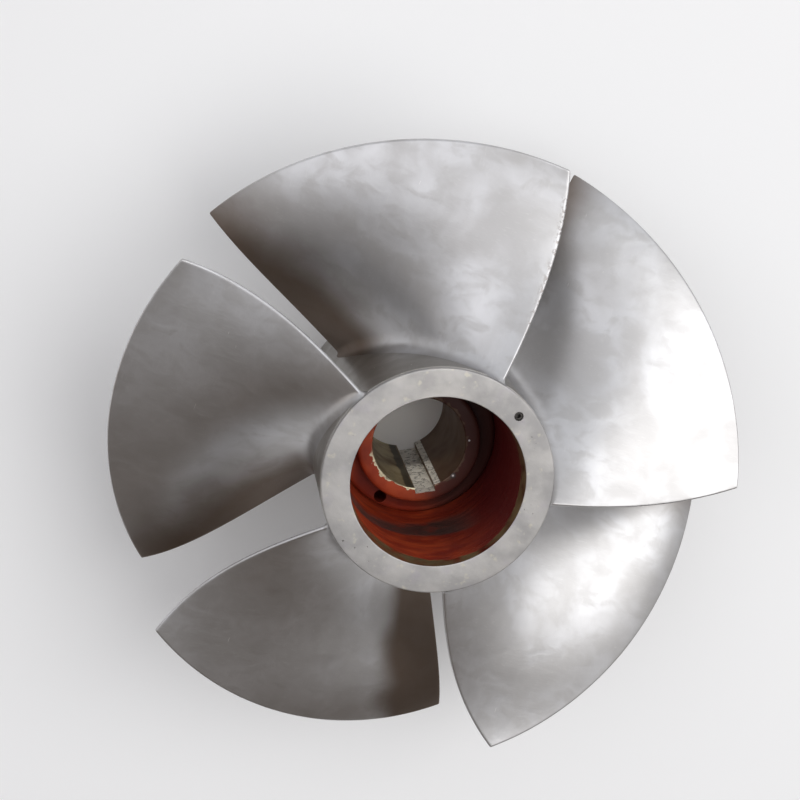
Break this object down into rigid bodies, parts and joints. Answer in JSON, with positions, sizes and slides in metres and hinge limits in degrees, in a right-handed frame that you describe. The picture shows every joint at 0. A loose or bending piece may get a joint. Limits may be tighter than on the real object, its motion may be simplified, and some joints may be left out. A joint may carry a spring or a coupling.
{
  "type": "fixed-blade kaplan turbine runner",
  "caption": "Turbine runner with twisted fixed blades round a hollow hub and a keyed shaft sleeve, turning an axial water flow into shaft power.",
  "frame": {"origin": "on the runner's axis, in the plane of the rear hub face that it stands on", "axes": "+Z along the runner's axis, from the shaft end towards the open ring face; +X and +Y towards blade tips"},
  "size_m": [0.8446, 0.8448, 0.373],
  "materials": {
    "blade_steel": "satin, hand ground",
    "hub_steel": "satin, ground casting",
    "machined_face": "matt, fine turned",
    "red_primer": "red oxide primer, satin",
    "screw_steel": "dark steel"
  },
  "bodies": {
    "root": {"hub_face_ring": "machined_face", "hub_barrel": "hub_steel", "hub_web": "red_primer", "rear_web": "machined_face", "shaft_sleeve": "red_primer", "face_grub_screw": "screw_steel", "blade_1": "blade_steel", "blade_2": "blade_steel", "blade_3": "blade_steel", "blade_4": "blade_steel", "blade_5": "blade_steel", "upper_root_fillet_1": "blade_steel", "upper_root_fillet_2": "blade_steel", "upper_root_fillet_3": "blade_steel", "upper_root_fillet_4": "blade_steel", "upper_root_fillet_5": "blade_steel", "lower_root_fillet_1": "blade_steel", "lower_root_fillet_2": "blade_steel", "lower_root_fillet_3": "blade_steel", "lower_root_fillet_4": "blade_steel", "lower_root_fillet_5": "blade_steel"}
  },
  "joints": []
}
